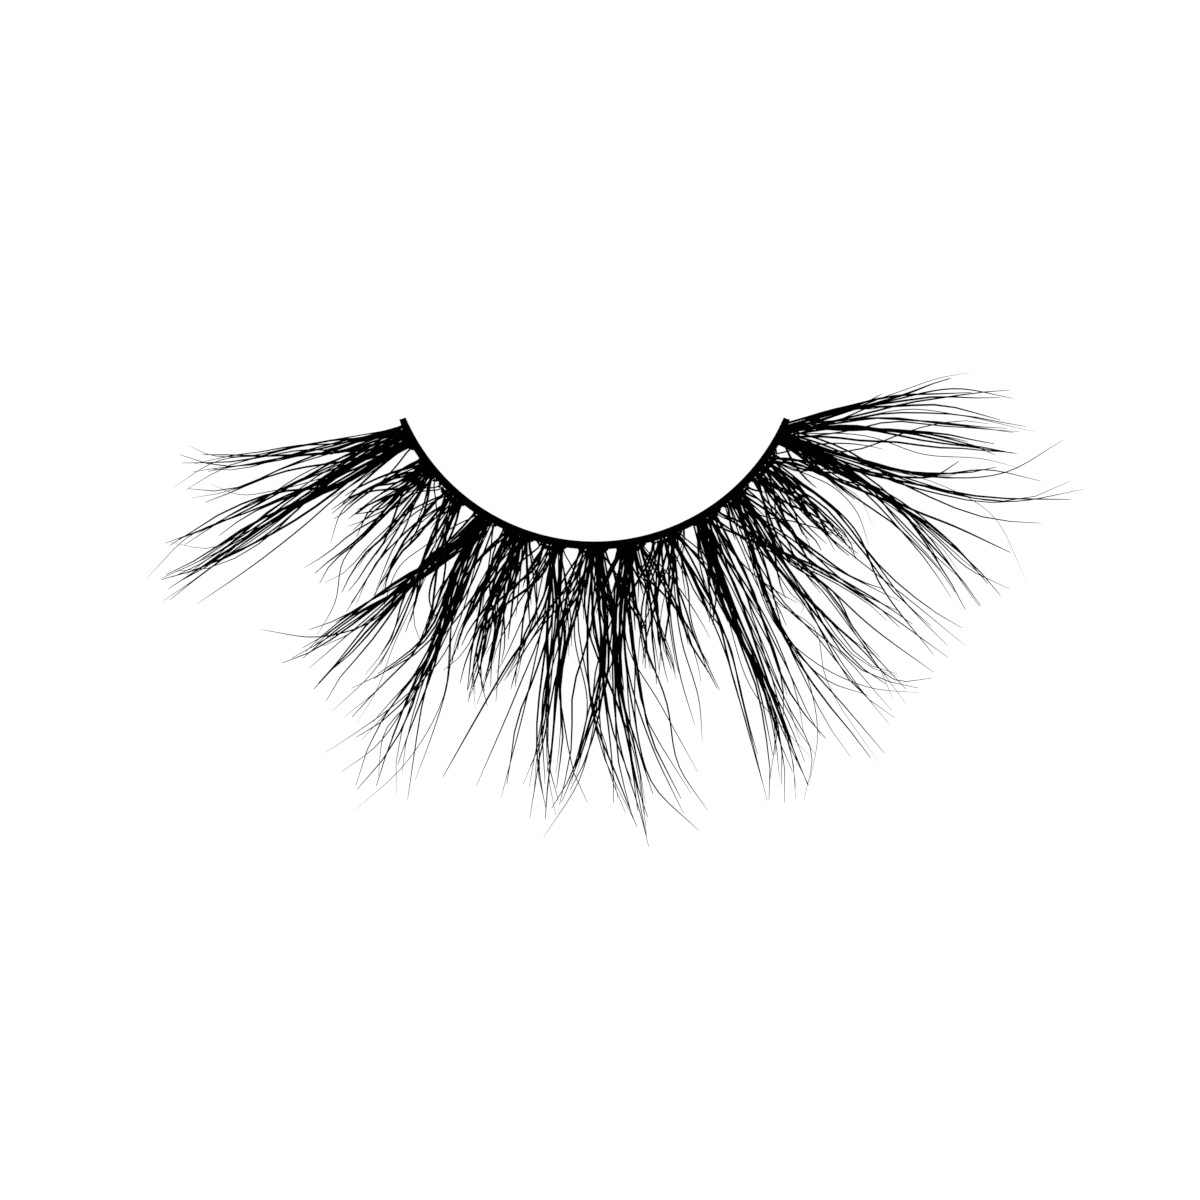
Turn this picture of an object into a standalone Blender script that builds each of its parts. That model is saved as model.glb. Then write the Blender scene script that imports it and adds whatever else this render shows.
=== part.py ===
"""False eyelash strip: a curved thread band with thirteen fans of curled hair tied along it.

The strip lies on a level surface, underside down, as it rests out of its tray. The origin is the
middle of the band's underside, +X runs along the chord towards the flared outer corner, +Y points
from the hair towards the eyelid, and +Z is up. Sizes are in millimetres until they meet a mesh.
"""

import math
from collections import namedtuple

import bmesh
import bpy
from mathutils import Matrix, Vector

MM = 0.001
SHARP_ANGLE = math.radians(50)

# Band: a flat thread strip bent to the curve of an eyelid.
BAND_RADIUS = 14.5
BAND_LENGTH = 33.8
BAND_WIDTH = 0.6
BAND_HEIGHT = 0.4
BAND_STEPS = 52
NUB_LENGTH = 0.45
NUB_WIDTH = 0.9
NUB_SHOULDER = 0.25

# Fans: hair tied to the band at an even pitch, each from a flat foot.
FAN_COUNT = 13
FAN_PITCH = 2.6
FOOT_WIDTH = 1.3
END_FOOT_WIDTH = 1.9
FOOT_LENGTH = 1.1
FOOT_HEIGHT = 0.36
FOOT_FLARE = 1.2
SEAT_GAP = 0.1

# Curl: hair lies flat as far as the belly, then climbs on one round curl.
BELLY_REACH = 4.5
CURL_RADIUS = 18.0

# Layers: neighbouring fans cross at three heights, one above another.
LAYER_COUNT = 3
LAYER_STEP = 0.62
LAYER_RISE_START = 0.7
LAYER_RISE_END = 2.6
ROOT_LIFT = 0.05
LOCK_STAGGER = 0.07
STAGGER_COUNT = 3

# Locks: tapered six-sided bundles, fused to the foot of their fan.
LOCK_SIDES = 6
HALF_ACROSS_FLATS = math.sin(math.pi / 3)
LOCK_STATIONS = (0.0, 0.08, 0.17, 0.28, 0.4, 0.53, 0.66, 0.79, 0.91, 1.0)
LOCK_START = 0.55
ROOT_WIDTH = 0.5
TIP_WIDTH = 0.14
WIDEST_AT = 0.4
LOCK_HEIGHT = 0.46
ROOT_HEIGHT = 0.22
TIP_HEIGHT = 0.12
TAPER_POWER = 1.2

# A row for each lock: its fan, counted from the inner corner; where it leaves the foot, along the
# band from the middle of the fan; a point that it passes halfway; its tip; and its widest width.
Lock = namedtuple("Lock", "fan foot mid tip girth")
LOCKS = (
    Lock(0, -0.6, (-20.5, 6.85), (-28.0, 6.0), 0.6),
    Lock(0, -0.3, (-20.5, 6.15), (-28.3, 4.7), 0.7),
    Lock(0, 0.1, (-21.8, 3.9), (-30.0, -1.2), 0.9),
    Lock(0, 0.5, (-21.2, 2.4), (-29.3, -2.6), 1.6),
    Lock(1, -0.4, (-15.2, 4.1), (-18.4, 2.2), 0.9),
    Lock(1, -0.1, (-14.6, 2.6), (-17.1, 1.3), 0.8),
    Lock(1, 0.0, (-15.6, 1.6), (-19.8, -1.9), 0.6),
    Lock(1, 0.2, (-14.5, 1.1), (-17.3, -3.2), 1.0),
    Lock(2, -0.4, (-13.4, 0.8), (-17.0, -4.6), 0.8),
    Lock(2, -0.1, (-12.7, 0.3), (-15.2, -3.6), 0.7),
    Lock(2, 0.1, (-11.7, -0.4), (-13.2, -6.2), 0.9),
    Lock(2, 0.3, (-12.2, -2.4), (-14.6, -9.2), 0.6),
    Lock(3, -0.6, (-14.4, -2.6), (-19.6, -7.4), 0.6),
    Lock(3, -0.5, (-14.2, -3.0), (-20.7, -8.8), 1.1),
    Lock(3, -0.4, (-13.8, -3.6), (-19.5, -9.9), 1.0),
    Lock(3, 0.0, (-11.8, -6.4), (-17.9, -10.9), 0.8),
    Lock(3, 0.2, (-11.6, -8.0), (-17.9, -14.1), 0.9),
    Lock(3, 0.4, (-11.0, -7.2), (-13.8, -17.4), 1.3),
    Lock(4, -0.4, (-7.6, -3.4), (-9.3, -7.6), 1.1),
    Lock(4, -0.1, (-7.0, -3.8), (-8.5, -9.3), 1.1),
    Lock(4, 0.3, (-6.3, -3.6), (-7.4, -8.2), 1.0),
    Lock(5, -0.4, (-5.0, -3.6), (-7.5, -8.0), 1.1),
    Lock(5, -0.2, (-4.6, -4.2), (-7.1, -9.9), 0.9),
    Lock(5, 0.0, (-4.0, -4.6), (-5.9, -9.6), 0.9),
    Lock(5, 0.2, (-3.2, -5.0), (-3.8, -10.5), 0.8),
    Lock(5, 0.4, (-2.4, -7.5), (-3.6, -17.2), 0.9),
    Lock(6, -0.4, (-2.3, -8.5), (-4.3, -18.9), 1.1),
    Lock(6, -0.2, (-1.6, -8.0), (-2.4, -17.6), 0.8),
    Lock(6, 0.0, (-0.4, -9.3), (2.9, -19.1), 0.7),
    Lock(6, 0.1, (0.1, -9.2), (-2.4, -17.7), 0.6),
    Lock(6, 0.3, (0.9, -9.0), (2.5, -18.2), 0.9),
    Lock(6, 0.4, (0.9, -10.3), (-3.4, -19.8), 0.6),
    Lock(7, -0.4, (1.5, -5.0), (1.6, -10.0), 0.8),
    Lock(7, -0.2, (1.7, -8.5), (3.7, -20.3), 0.8),
    Lock(7, 0.0, (2.2, -8.0), (3.2, -17.5), 0.7),
    Lock(7, 0.1, (2.6, -4.4), (2.9, -9.6), 0.8),
    Lock(7, 0.3, (3.9, -3.4), (4.5, -8.4), 0.9),
    Lock(8, -0.4, (4.0, -3.2), (3.4, -8.5), 0.8),
    Lock(8, -0.1, (4.7, -4.2), (5.4, -9.2), 0.9),
    Lock(8, 0.1, (5.9, -4.2), (7.0, -10.2), 0.7),
    Lock(8, 0.2, (6.3, -3.8), (8.6, -9.8), 0.7),
    Lock(8, 0.4, (9.3, -7.5), (11.7, -17.0), 0.6),
    Lock(9, -0.4, (7.9, -1.6), (8.9, -5.0), 1.0),
    Lock(9, -0.2, (10.8, -7.8), (12.9, -17.4), 1.2),
    Lock(9, 0.0, (11.5, -7.4), (14.9, -15.4), 1.2),
    Lock(9, 0.4, (15.2, -1.2), (22.2, -5.9), 0.8),
    Lock(10, -0.4, (10.9, -1.0), (12.5, -5.6), 1.1),
    Lock(10, -0.2, (13.3, -6.5), (18.6, -14.7), 1.0),
    Lock(10, 0.1, (12.3, -0.7), (14.4, -4.3), 1.0),
    Lock(10, 0.2, (15.9, -4.7), (21.2, -9.2), 0.7),
    Lock(10, 0.4, (15.8, -2.9), (22.3, -8.0), 0.7),
    Lock(11, -0.4, (13.2, 1.5), (15.8, -0.9), 1.0),
    Lock(11, -0.1, (14.1, 1.8), (17.4, -0.2), 0.8),
    Lock(11, 0.2, (15.2, 2.1), (18.9, -1.2), 1.0),
    Lock(11, 0.4, (15.5, 4.7), (19.0, 3.6), 0.8),
    Lock(12, -0.7, (19.2, 2.7), (24.4, -3.0), 0.7),
    Lock(12, -0.5, (20.6, 2.7), (26.7, -3.8), 1.1),
    Lock(12, -0.3, (21.9, 4.2), (32.6, 2.8), 0.9),
    Lock(12, -0.1, (21.6, 5.0), (31.8, 6.4), 0.7),
    Lock(12, 0.2, (20.5, 7.8), (27.3, 6.7), 0.6),
    Lock(12, 0.3, (20.6, 8.4), (28.9, 6.4), 0.8),
    Lock(12, 0.5, (20.5, 9.6), (28.7, 9.5), 0.8),
    Lock(12, 0.7, (20.0, 10.1), (27.8, 11.6), 0.6),
)


def smooth_step(t):
    """A ramp from 0 to 1 with level ends."""
    t = min(max(t, 0.0), 1.0)
    return t * t * (3 - 2 * t)


def mix(a, b, t):
    return a + (b - a) * t


def arc_point(angle, radius):
    """A plan point at a radius from the centre of the band's arc, angle 0 at the middle."""
    return Vector((radius * math.sin(angle), BAND_RADIUS - radius * math.cos(angle)))


def fan_angle(fan, foot=0.0):
    """The angle along the arc of a fan's middle, or of a place beside it."""
    from_middle = fan - (FAN_COUNT - 1) / 2
    return (from_middle * FAN_PITCH + foot) / BAND_RADIUS


def distance_from_band(point):
    """How far a plan point lies out from the band's outer edge."""
    return math.hypot(point.x, point.y - BAND_RADIUS) - BAND_RADIUS - BAND_WIDTH / 2


def lift(point, fan):
    """The height of the underside of a fan's hair above the resting surface."""
    out = distance_from_band(point)
    along_curl = min(max(out - BELLY_REACH, 0.0), CURL_RADIUS)
    curl = CURL_RADIUS - math.sqrt(CURL_RADIUS**2 - along_curl**2)
    rise = smooth_step((out - LAYER_RISE_START) / (LAYER_RISE_END - LAYER_RISE_START))
    return curl + (fan % LAYER_COUNT) * LAYER_STEP * rise


def lock_plan(lock, t):
    """A point of the lock's centreline in plan, and the way it runs there."""
    root = arc_point(fan_angle(lock.fan, lock.foot), BAND_RADIUS + BAND_WIDTH / 2 + LOCK_START)
    mid, tip = Vector(lock.mid), Vector(lock.tip)
    pull = 2 * mid - (root + tip) / 2
    point = (1 - t) ** 2 * root + 2 * t * (1 - t) * pull + t**2 * tip
    heading = (1 - t) * (pull - root) + t * (tip - pull)
    return point, heading.normalized()


def taper(t, root, widest, tip):
    """A size that grows from the root to its widest, then falls away to the tip."""
    if t < WIDEST_AT:
        return mix(root, widest, smooth_step(t / WIDEST_AT))
    return mix(widest, tip, ((t - WIDEST_AT) / (1 - WIDEST_AT)) ** TAPER_POWER)


def lock_section(lock, place, t):
    """The matrix that turns a unit circle into the cross-section at t of a fan's lock number place."""
    point, heading = lock_plan(lock, t)
    width = taper(t, ROOT_WIDTH, lock.girth, TIP_WIDTH)
    height = taper(t, ROOT_HEIGHT, LOCK_HEIGHT, TIP_HEIGHT)
    above = lift(point, lock.fan) + (place % STAGGER_COUNT) * LOCK_STAGGER
    above += ROOT_LIFT * (1 - smooth_step(distance_from_band(point) / LAYER_RISE_END))
    centre = Vector((point.x, point.y, above + height / 2))
    across = Vector((-heading.y, heading.x, 0.0)) * (width / 2)
    up = Vector((0, 0, 1)) * (height / 2 / HALF_ACROSS_FLATS)
    forward = Vector((heading.x, heading.y, 0.0))
    columns = Matrix((across, up, forward)).transposed().to_4x4()
    return Matrix.Scale(MM, 4) @ Matrix.Translation(centre) @ columns


def new_object(name, bm, material):
    bmesh.ops.recalc_face_normals(bm, faces=bm.faces)
    mesh = bpy.data.meshes.new(name)
    bm.to_mesh(mesh)
    bm.free()
    mesh.shade_smooth()
    mesh.set_sharp_from_angle(angle=SHARP_ANGLE)
    mesh.materials.append(material)
    obj = bpy.data.objects.new(name, mesh)
    bpy.context.scene.collection.objects.link(obj)
    return obj


def draw_out(bm, end):
    """Extrudes an end face and returns the new end. The old one stays only where it closes the solid."""
    closes_solid = all(len(edge.link_faces) == 1 for edge in end.edges)
    made = bmesh.ops.extrude_face_region(bm, geom=[end])["geom"]
    if not closes_solid:
        bm.faces.remove(end)
    return next(part for part in made if isinstance(part, bmesh.types.BMFace))


def make_lock(lock, place, name, material):
    """One tapered lock, extruded station by station; a hidden helper for its fan."""
    bm = bmesh.new()
    bmesh.ops.create_circle(bm, cap_ends=True, segments=LOCK_SIDES, radius=1.0)
    end = bm.faces[:][0]
    section = lock_section(lock, place, LOCK_STATIONS[0])
    flats_up = Matrix.Rotation(math.pi / 2, 3, "Z")
    bmesh.ops.rotate(bm, verts=bm.verts, matrix=flats_up)
    bmesh.ops.transform(bm, verts=bm.verts, matrix=section)
    for t in LOCK_STATIONS[1:]:
        end = draw_out(bm, end)
        following = lock_section(lock, place, t)
        bmesh.ops.transform(bm, verts=end.verts, matrix=following @ section.inverted())
        section = following
    helper = new_object(name, bm, material)
    helper.hide_render = True
    helper.display_type = "WIRE"
    return helper


def make_fan(fan, material):
    """A fan: a flared foot beside the band, with its locks joined to it."""
    is_end = fan in (0, FAN_COUNT - 1)
    width = END_FOOT_WIDTH if is_end else FOOT_WIDTH
    inner = BAND_RADIUS + BAND_WIDTH / 2 + SEAT_GAP
    bm = bmesh.new()
    bmesh.ops.create_cube(bm, size=1.0)
    outer_corners = [v for v in bm.verts if v.co.y < 0]
    bmesh.ops.scale(bm, verts=outer_corners, vec=(FOOT_FLARE, 1, 1))
    bmesh.ops.scale(bm, verts=bm.verts, vec=(width, FOOT_LENGTH, FOOT_HEIGHT))
    middle = Vector((0, BAND_RADIUS - inner - FOOT_LENGTH / 2, FOOT_HEIGHT / 2))
    bmesh.ops.translate(bm, verts=bm.verts, vec=middle)
    turn = Matrix.Rotation(fan_angle(fan), 3, "Z")
    bmesh.ops.rotate(bm, verts=bm.verts, cent=(0, BAND_RADIUS, 0), matrix=turn)
    bmesh.ops.scale(bm, verts=bm.verts, vec=(MM, MM, MM))
    foot = new_object(f"hair_fan_{fan + 1:02d}", bm, material)
    own_locks = [lock for lock in LOCKS if lock.fan == fan]
    for place, lock in enumerate(own_locks):
        join = foot.modifiers.new(f"lock {place + 1}", "BOOLEAN")
        join.operation = "UNION"
        # The default solver drops whole locks where many long skins cross at small angles.
        join.solver = "MANIFOLD"
        join.object = make_lock(lock, place, f"{foot.name}_lock_{place + 1}", material)
    return foot


def make_band(material):
    """The thread band: its section spun round the arc, with the cut ends left a little wider."""
    half_angle = BAND_LENGTH / 2 / BAND_RADIUS
    nub_angle = NUB_LENGTH / BAND_RADIUS
    step = 2 * (half_angle - nub_angle) / BAND_STEPS
    centre = Vector((0, BAND_RADIUS, 0))
    bm = bmesh.new()
    bmesh.ops.create_grid(bm, x_segments=1, y_segments=1, size=0.5)
    section = Matrix.Diagonal((BAND_WIDTH, BAND_HEIGHT, 1, 1))
    upright = Matrix.Rotation(math.pi / 2, 4, "Y") @ Matrix.Rotation(math.pi / 2, 4, "Z")
    lifted = Matrix.Translation((0, 0, BAND_HEIGHT / 2))
    bmesh.ops.transform(bm, verts=bm.verts, matrix=lifted @ upright @ section)
    to_start = Matrix.Rotation(nub_angle - half_angle, 3, "Z")
    bmesh.ops.rotate(bm, verts=bm.verts, cent=centre, matrix=to_start)
    start = bm.faces[:][0]
    spun = bmesh.ops.spin(
        bm, geom=bm.faces[:] + bm.edges[:] + bm.verts[:], cent=centre, axis=(0, 0, 1),
        angle=step * BAND_STEPS, steps=BAND_STEPS, use_duplicate=False,
    )
    finish = next(part for part in spun["geom_last"] if isinstance(part, bmesh.types.BMFace))
    for end, side in ((start, -1), (finish, 1)):
        widen_nub(bm, end, side * nub_angle, centre)
    bmesh.ops.scale(bm, verts=bm.verts, vec=(MM, MM, MM))
    return new_object("thread_band", bm, material)


def widen_nub(bm, end, angle, centre):
    """Draws a band end out to its cut end, which swells on the hair side."""
    for share in (NUB_SHOULDER, 1 - NUB_SHOULDER):
        end = draw_out(bm, end)
        bmesh.ops.rotate(
            bm, verts=end.verts, cent=centre, matrix=Matrix.Rotation(angle * share, 3, "Z")
        )
        for vert in end.verts:
            out = Vector((vert.co.x, vert.co.y)) - centre.xy
            if out.length > BAND_RADIUS:
                radius = BAND_RADIUS - BAND_WIDTH / 2 + NUB_WIDTH
                vert.co.xy = centre.xy + out.normalized() * radius


def make_material(name, colour, roughness):
    material = bpy.data.materials.new(name)
    material.use_nodes = True
    shader = material.node_tree.nodes["Principled BSDF"]
    shader.inputs["Base Color"].default_value = (*colour, 1.0)
    shader.inputs["Roughness"].default_value = roughness
    shader.inputs["Metallic"].default_value = 0.0
    material.diffuse_color = (*colour, 1.0)
    return material


def main():
    for obj in list(bpy.data.objects):
        bpy.data.objects.remove(obj)
    cotton = make_material("black_cotton", (0.012, 0.012, 0.013), 0.8)
    fibre = make_material("black_fibre", (0.008, 0.008, 0.009), 0.45)
    make_band(cotton)
    for fan in range(FAN_COUNT):
        make_fan(fan, fibre)


main()
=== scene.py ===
"""Looks for the false eyelash strip: single hairs, thread band, root knots, and the stage.

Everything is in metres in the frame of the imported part: the band's underside lies on the floor with
its middle at the origin, the hair runs outward and curls up. Hair paths are charted in millimetres
in plan, and the curl gives every hair its height.
"""

import math
from collections import namedtuple

import bmesh
import bpy
import numpy as np
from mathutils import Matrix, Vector


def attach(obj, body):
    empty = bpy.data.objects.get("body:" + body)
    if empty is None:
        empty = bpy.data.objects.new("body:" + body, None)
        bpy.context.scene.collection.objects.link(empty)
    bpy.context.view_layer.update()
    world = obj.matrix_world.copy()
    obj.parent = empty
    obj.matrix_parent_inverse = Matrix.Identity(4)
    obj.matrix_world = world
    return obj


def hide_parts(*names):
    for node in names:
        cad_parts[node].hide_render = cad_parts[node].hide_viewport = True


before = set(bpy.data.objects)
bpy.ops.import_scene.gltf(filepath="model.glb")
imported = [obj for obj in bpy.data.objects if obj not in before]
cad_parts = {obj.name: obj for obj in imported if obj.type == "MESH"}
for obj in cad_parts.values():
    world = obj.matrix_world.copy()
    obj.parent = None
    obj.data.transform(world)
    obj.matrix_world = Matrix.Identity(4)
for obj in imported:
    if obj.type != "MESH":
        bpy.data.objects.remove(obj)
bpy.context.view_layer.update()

bl_info = {
    "name": "False Eyelash Strip",
    "version": (1, 0, 0),
    "blender": (4, 5, 0),
    "location": "View3D > Sidebar > Lash",
    "description": "Builds the hair, band and knots of a false eyelash strip around its solids",
    "category": "Object",
}

MM = 0.001
BODY = "root"
HAIR_SLOT = "black_fibre"
THREAD_SLOT = "black_cotton"
SEED = 4821

# Band and fans, in millimetres, as the solids have them but for the narrower nubs at the band's ends.
BAND_RADIUS = 14.5
BAND_LENGTH = 33.8
BAND_WIDTH = 0.6
BAND_HEIGHT = 0.4
NUB_LENGTH = 0.3
NUB_WIDTH = 0.5
NECK_LENGTH = 0.7
NECK_WIDTH = 0.44
FAN_COUNT = 13
FAN_PITCH = 2.6
BELLY_REACH = 4.5
CURL_RADIUS = 18.0
LAYER_COUNT = 3
LAYER_STEP = 0.62
LAYER_RISE_START = 0.7
LAYER_RISE_END = 2.6
BUNDLE_HEIGHT = 0.42

# The band's core and the thread wound round it. Sizes are shares of the thread's width.
CORE_SIDES = 14
CORE_CUTS = 90
CORE_INSET = 0.15
WINDING_PITCH = 1.1
WINDING_END = 1.2
WINDING_FULLNESS = 0.98
WINDING_STEPS = 14
WINDING_SQUARENESS = 0.6

# The knot round a fan's root: its turns, and in millimetres their middle's height, how high they
# stand, and how far they draw in. How far they lie from the band and from each other are shares of
# the thread's width, and the knots' tones run between two ends.
KNOT_TURNS = 3
KNOT_STEPS = 22
KNOT_MIDDLE = 0.2
KNOT_HEIGHT = 0.36
KNOT_DRAWN_IN = 0.3
KNOT_FIRST = 0.4
KNOT_PITCH = 0.8
KNOT_SQUARENESS = 0.7
KNOT_TONES = (0.2, 0.8)

# The glue that rounds the corner between the band and a fan's foot, in millimetres.
GLUE_ROUND = 0.24
GLUE_WIDTH = 0.16
GLUE_RINGS = 7

# A hair is one template rod bent along its path, so every hair has the same few faces.
HAIR_SIDES = 4
HAIR_RINGS = 14
STRAY_RINGS = 24
THREAD_SIDES = 6
ROOT_CLOSENESS = 1.4
TIP_SHARE = 0.28
TIP_POWER = 5.0
THICKNESS_RANGE = (0.6, 1.2)

# How far a hair stays inside its fan's layer and above the floor, in millimetres, and a length too
# small to show, which keeps a unit vector from dividing by nothing.
HAIR_CLEARANCE = 0.08
FLOOR_CLEARANCE = 0.005
TINY = 1e-12

# How a lock's hairs spread: from the foot, across the lock, and apart at the tips. Sizes are in
# millimetres, and where a change starts, and how long it takes, are shares of the hair's length.
SHORTEST_BY = 0.22
FOOT_SCATTER = 0.8
FOOT_JOINS = (0.25, 0.7)
PLACE_CHANCE = (0.15, 0.85)
INNER_GATHER = 0.35
OUTER_GATHER = 1.1
ROOT_WIDTH = 0.25
WIDEST_AT = 0.35
GATHER_OVER = 0.6
CROSS_SHARE = 0.75
CROSS_BY = 1.15
SWAP_SHARE = 0.45
SWAP_REACH = 3.2
SWAP_START = 0.1
SWAP_OVER = 0.7
WANDER = 0.12
WANDER_BY = 0.4
SLOW_WAVES = (0.6, 1.4)
QUICK_WAVES = (2.0, 3.5)
QUICK_SHARE = 0.35
TIP_FLICK = 0.5
FLICK_START = 0.55
TIP_HOOK = 0.06
HOOK_SHARE = 0.45
HOOK_START = 0.65
HOOK_POWER = 2.5

# How a fan's short hairs splay from its foot, in millimetres and degrees, and swing back.
SPLAY_BY = 1.3
FILL_SCATTER = 0.04
SPLAY_SCATTER = 7
SWING_BACK = 0.9
SWING_SCATTER = 14
FILL_SHORTEST = 0.4
FILL_POWER = 1.3

# The fibre: the grain's detail, its share in the colour and its depth in metres; how late the
# tip's colour comes; the shine; and the tone of what has no tone of its own.
GRAIN_DETAIL = 3.0
GRAIN_IN_COLOUR = 0.35
GRAIN_DEPTH = 0.00002
TIP_COLOUR_LATE = 0.1
FIBRE_SHINE = 0.015
MIDDLE_TONE = 0.5

# The stage in metres, and the camera's view in millimetres.
FLOOR_SIZE = 3.0
FLOOR_GLOW = 0.9
FLOOR_ROUGHNESS = 0.95
FLOOR_SHINE = 0.1
MOTTLE_SCALE = 60.0
MOTTLE_LIFT = 1.02
SKY_GLOW = 0.12
VIEW_CENTRE = (0.37, -3.76)
VIEW_WIDTH = 82.8
LENS = 400.0
SENSOR = 36.0
NEAREST = 0.01
Lamp = namedtuple("Lamp", "name place size power")
LAMPS = (
    Lamp("key_light", (-0.5, -0.35, 0.9), 0.8, 1.0),
    Lamp("fill_light", (0.6, 0.4, 0.8), 0.8, 0.7),
)

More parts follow.
